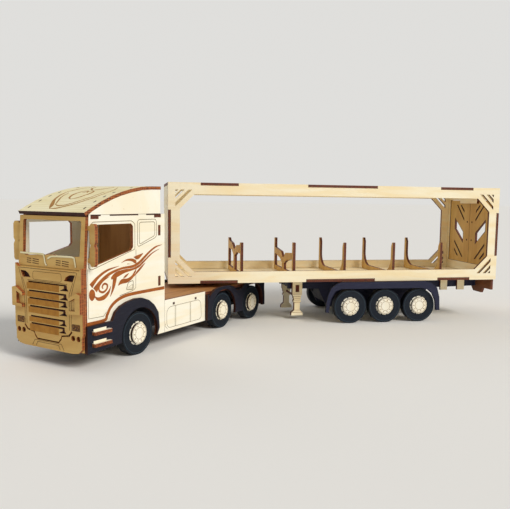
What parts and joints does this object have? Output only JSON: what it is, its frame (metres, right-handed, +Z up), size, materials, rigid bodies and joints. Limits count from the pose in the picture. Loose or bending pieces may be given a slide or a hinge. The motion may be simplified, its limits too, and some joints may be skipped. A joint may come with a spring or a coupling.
{
  "type": "model articulated lorry",
  "caption": "Laser-cut plywood model lorry: box cab on a chassis, hitched to an open-sided trailer with cradles for a bottle, rolling wheels and rear doors.",
  "frame": {"origin": "middle of the footprint, on the floor", "axes": "+X toward the trailer's rear doors, +Z up; the tractor stands turned 48.4 degrees about its kingpin"},
  "size_m": [0.5432, 0.2836, 0.1623],
  "materials": {
    "birch_plywood": "bare sanded birch plywood, 3 mm",
    "kerf_bent_plywood": "bare birch plywood, kerf bent",
    "black_stained_plywood": "plywood painted matt black",
    "black_tyre_plywood": "plywood rings painted matt black"
  },
  "bodies": {
    "trailer": {"side_frame_left": "birch_plywood", "side_frame_right": "birch_plywood", "trailer_deck": "birch_plywood", "kingpin": "birch_plywood", "trailer_roof": "birch_plywood", "front_bulkhead": "birch_plywood", "rear_frame": "birch_plywood", "cradle_1": "birch_plywood", "cradle_2": "birch_plywood", "cradle_3": "birch_plywood", "cradle_4": "birch_plywood", "cradle_5": "birch_plywood", "subframe_board": "birch_plywood", "trailer_chassis": "black_stained_plywood", "trailer_fender_left": "black_stained_plywood", "trailer_fender_right": "black_stained_plywood", "landing_legs": "birch_plywood", "rear_bumper": "birch_plywood"},
    "tractor": {"cab_side_left": "birch_plywood", "step_arch_panel_left": "black_stained_plywood", "side_skirt_left": "birch_plywood", "cab_side_right": "birch_plywood", "step_arch_panel_right": "black_stained_plywood", "side_skirt_right": "birch_plywood", "roof_fillers": "birch_plywood", "cab_roof": "kerf_bent_plywood", "cab_ceiling": "birch_plywood", "cab_floor": "birch_plywood", "cab_rear_wall": "birch_plywood", "front_wall": "birch_plywood", "windshield_frame": "birch_plywood", "mirror_left": "birch_plywood", "mirror_right": "birch_plywood", "fascia": "birch_plywood", "tractor_chassis": "black_stained_plywood", "tractor_deck": "birch_plywood", "fifth_wheel": "birch_plywood", "drive_fender_left": "black_stained_plywood", "drive_fender_right": "black_stained_plywood"},
    "front_wheels": {"front_axle": "birch_plywood", "front_tyre_left": "black_tyre_plywood", "front_tyre_right": "black_tyre_plywood"},
    "drive_wheels_1": {"drive_1_axle": "birch_plywood", "drive_1_tyre_left": "black_tyre_plywood", "drive_1_tyre_right": "black_tyre_plywood"},
    "drive_wheels_2": {"drive_2_axle": "birch_plywood", "drive_2_tyre_left": "black_tyre_plywood", "drive_2_tyre_right": "black_tyre_plywood"},
    "trailer_wheels_1": {"trailer_1_axle": "birch_plywood", "trailer_1_tyre_left": "black_tyre_plywood", "trailer_1_tyre_right": "black_tyre_plywood"},
    "trailer_wheels_2": {"trailer_2_axle": "birch_plywood", "trailer_2_tyre_left": "black_tyre_plywood", "trailer_2_tyre_right": "black_tyre_plywood"},
    "trailer_wheels_3": {"trailer_3_axle": "birch_plywood", "trailer_3_tyre_left": "black_tyre_plywood", "trailer_3_tyre_right": "black_tyre_plywood"},
    "rear_door_left": {"rear_door_left": "birch_plywood"},
    "rear_door_right": {"rear_door_right": "birch_plywood"}
  },
  "joints": [
    {"name": "articulation", "type": "hinge", "parent": "trailer", "child": "tractor", "pos_m": [-0.06998, 0.07766, 0.05], "axis": [0, 0, 1], "range_deg": [-138.4, 41.6]},
    {"name": "front_wheels_spin", "type": "hinge", "parent": "tractor", "child": "front_wheels", "pos_m": [-0.1928, -0.06068, 0.02], "axis": [0.7478, -0.6639, 0], "continuous": true},
    {"name": "drive_wheels_1_spin", "type": "hinge", "parent": "tractor", "child": "drive_wheels_1", "pos_m": [-0.10098, 0.04274, 0.02], "axis": [0.7478, -0.6639, 0], "continuous": true},
    {"name": "drive_wheels_2_spin", "type": "hinge", "parent": "tractor", "child": "drive_wheels_2", "pos_m": [-0.05876, 0.0903, 0.02], "axis": [0.7478, -0.6639, 0], "continuous": true},
    {"name": "trailer_wheels_1_spin", "type": "hinge", "parent": "trailer", "child": "trailer_wheels_1", "pos_m": [0.08309, 0.07766, 0.02], "axis": [0, -1, 0], "continuous": true},
    {"name": "trailer_wheels_2_spin", "type": "hinge", "parent": "trailer", "child": "trailer_wheels_2", "pos_m": [0.12659, 0.07766, 0.02], "axis": [0, -1, 0], "continuous": true},
    {"name": "trailer_wheels_3_spin", "type": "hinge", "parent": "trailer", "child": "trailer_wheels_3", "pos_m": [0.17008, 0.07766, 0.02], "axis": [0, -1, 0], "continuous": true},
    {"name": "rear_door_left_hinge", "type": "hinge", "parent": "trailer", "child": "rear_door_left", "pos_m": [0.27012, 0.02946, 0.0645], "axis": [0, 0, -1], "range_deg": [0, 100]},
    {"name": "rear_door_right_hinge", "type": "hinge", "parent": "trailer", "child": "rear_door_right", "pos_m": [0.27012, 0.12586, 0.0645], "axis": [0, 0, 1], "range_deg": [0, 100]}
  ]
}
